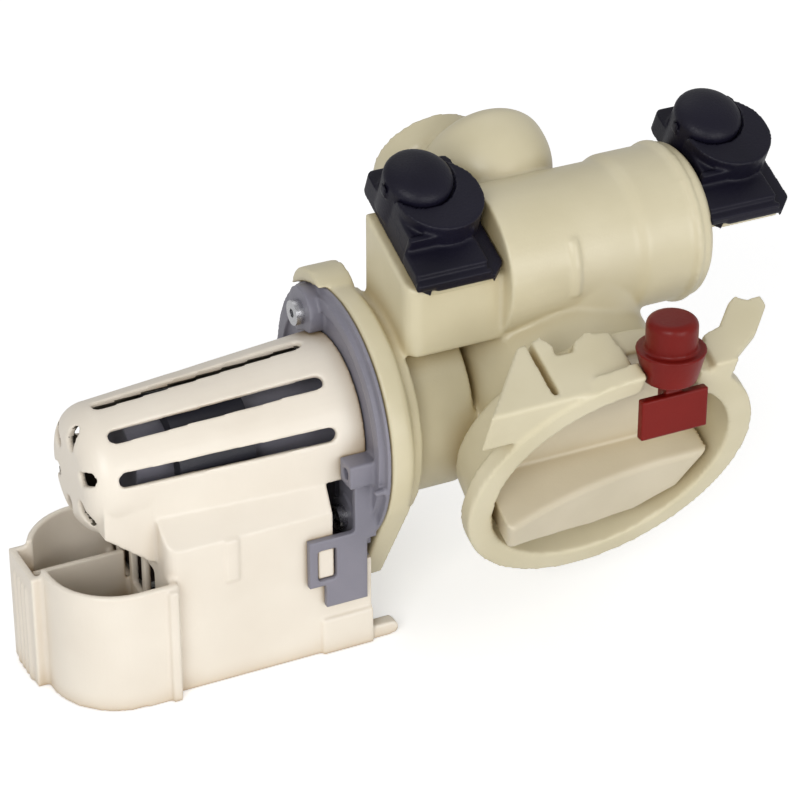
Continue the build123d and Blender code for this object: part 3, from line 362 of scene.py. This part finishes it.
def flange_web(bm):
    """The web under the flange's bracket block, with its ribs, and two small studs on the disc."""
    box_between(bm, (WEB_LEFT, WEB_FACE - 1, WEB_LOW), (WEB_RIGHT, WEB_BACK, WEB_HIGH))
    box_between(bm, (WEB_LEFT, WEB_FRONT, WEB_LOW), (WEB_LEFT + WEB_RIB, WEB_FACE, WEB_HIGH))
    box_between(bm, (WEB_LEFT, WEB_FRONT, WEB_LOW), (WEB_RIGHT, WEB_FACE, WEB_LOW + WEB_SHELF))
    prism(bm, WEB_BRACE, (0, WEB_FACE, 0), (1, 0, 0), (0, 0, 1), BRACE_WIDTH)
    for angle in STUD_ANGLES:
        place = Matrix.Rotation(radians(angle), 3, "X") @ Vector((0, -STUD_RING, 0))
        start = Vector((STUD_START, place.y, AXIS_HEIGHT + place.z))
        end = Vector((STUD_END, place.y, AXIS_HEIGHT + place.z))
        rod(bm, start, end, *STUD_RADII, STUD_SIDES)


# Each piece's voxel in millimetres and its rounds of smoothing
paint_inside_shade(soften("motor_cover", 0.6, 4, keep=0.5))
soften("motor_flange", 0.5, 3, add=flange_web)
soften("pump_body", 0.8, 4)
for name in ("rubber_foot_left", "rubber_foot_right"):
    dome_over(soften(name, 0.5, 3, add=foot_pads(name), keep=1.0), NODES[name])
soften("filter_cap", 0.6, 4)
soften("cap_lock", 0.4, 3)

# Floor, which the camera sees a little paler than it lies in the light
FLOOR_SIZE = 12
FLOOR_GAP = 0.2 * MM
FLOOR_GLOW = 0.4
FLOOR_CLOUD_SCALE = 3.0
FLOOR_COLOURS = ((0.9, 0.9, 0.9), (0.93, 0.93, 0.93))
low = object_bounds()[0]
bpy.ops.mesh.primitive_plane_add(size=FLOOR_SIZE, location=(0, 0, low[2] - FLOOR_GAP))
floor = bpy.context.object
floor.name = "floor"
floor_mat, floor_tree, floor_shader, floor_coords = new_material("floor_paint")
floor_cloud = noise(floor_tree, floor_coords, FLOOR_CLOUD_SCALE)
floor_colour = ramp(floor_tree, floor_cloud, CLOUD_STOPS, FLOOR_COLOURS)
floor_tree.links.new(floor_colour, floor_shader.inputs["Base Color"])
floor_shader.inputs["Specular IOR Level"].default_value = 0.1
floor_shader.inputs["Emission Color"].default_value = (1, 1, 1, 1)
path = floor_tree.nodes.new("ShaderNodeLightPath")
seen = floor_tree.nodes.new("ShaderNodeMath")
seen.operation = "MULTIPLY"
seen.inputs[1].default_value = FLOOR_GLOW
floor_tree.links.new(path.outputs["Is Camera Ray"], seen.inputs[0])
floor_tree.links.new(seen.outputs["Value"], floor_shader.inputs["Emission Strength"])
floor.data.materials.append(floor_mat)

# Camera at the photograph's angle
lens_data = bpy.data.cameras.new("camera")
lens_data.sensor_width = 36
lens_data.lens = 141.4
lens_data.clip_start = 0.01
camera = bpy.data.objects.new("camera", lens_data)
camera.location = (-0.3095, -0.7481, 0.5449)
camera.rotation_euler = (radians(59.974), 0, radians(-26.055))
bpy.context.collection.objects.link(camera)
bpy.context.scene.camera = camera

# Lights: name, place, size and power
AIM = Vector((0.04, -0.01, 0.07))
LAMPS = (
    ("key", (-0.95, -1.05, 0.75), 0.7, 9.5),
    ("fill", (0.35, -1.4, 0.3), 0.9, 8),
    ("top", (0.2, 0.8, 1.5), 1.0, 2),
)
SKY_STRENGTH = 0.54
for name, place, size, power in LAMPS:
    lamp_data = bpy.data.lights.new(name, "AREA")
    lamp_data.size = size
    lamp_data.energy = power
    lamp = bpy.data.objects.new(name, lamp_data)
    lamp.location = place
    lamp.rotation_euler = (AIM - Vector(place)).to_track_quat("-Z", "Y").to_euler()
    bpy.context.collection.objects.link(lamp)
world = bpy.data.worlds.new("world")
bpy.context.scene.world = world
world.use_nodes = True
sky = world.node_tree.nodes["Background"]
sky.inputs["Color"].default_value = (1, 1, 1, 1)
sky.inputs["Strength"].default_value = SKY_STRENGTH
bpy.context.scene.view_settings.view_transform = "Standard"
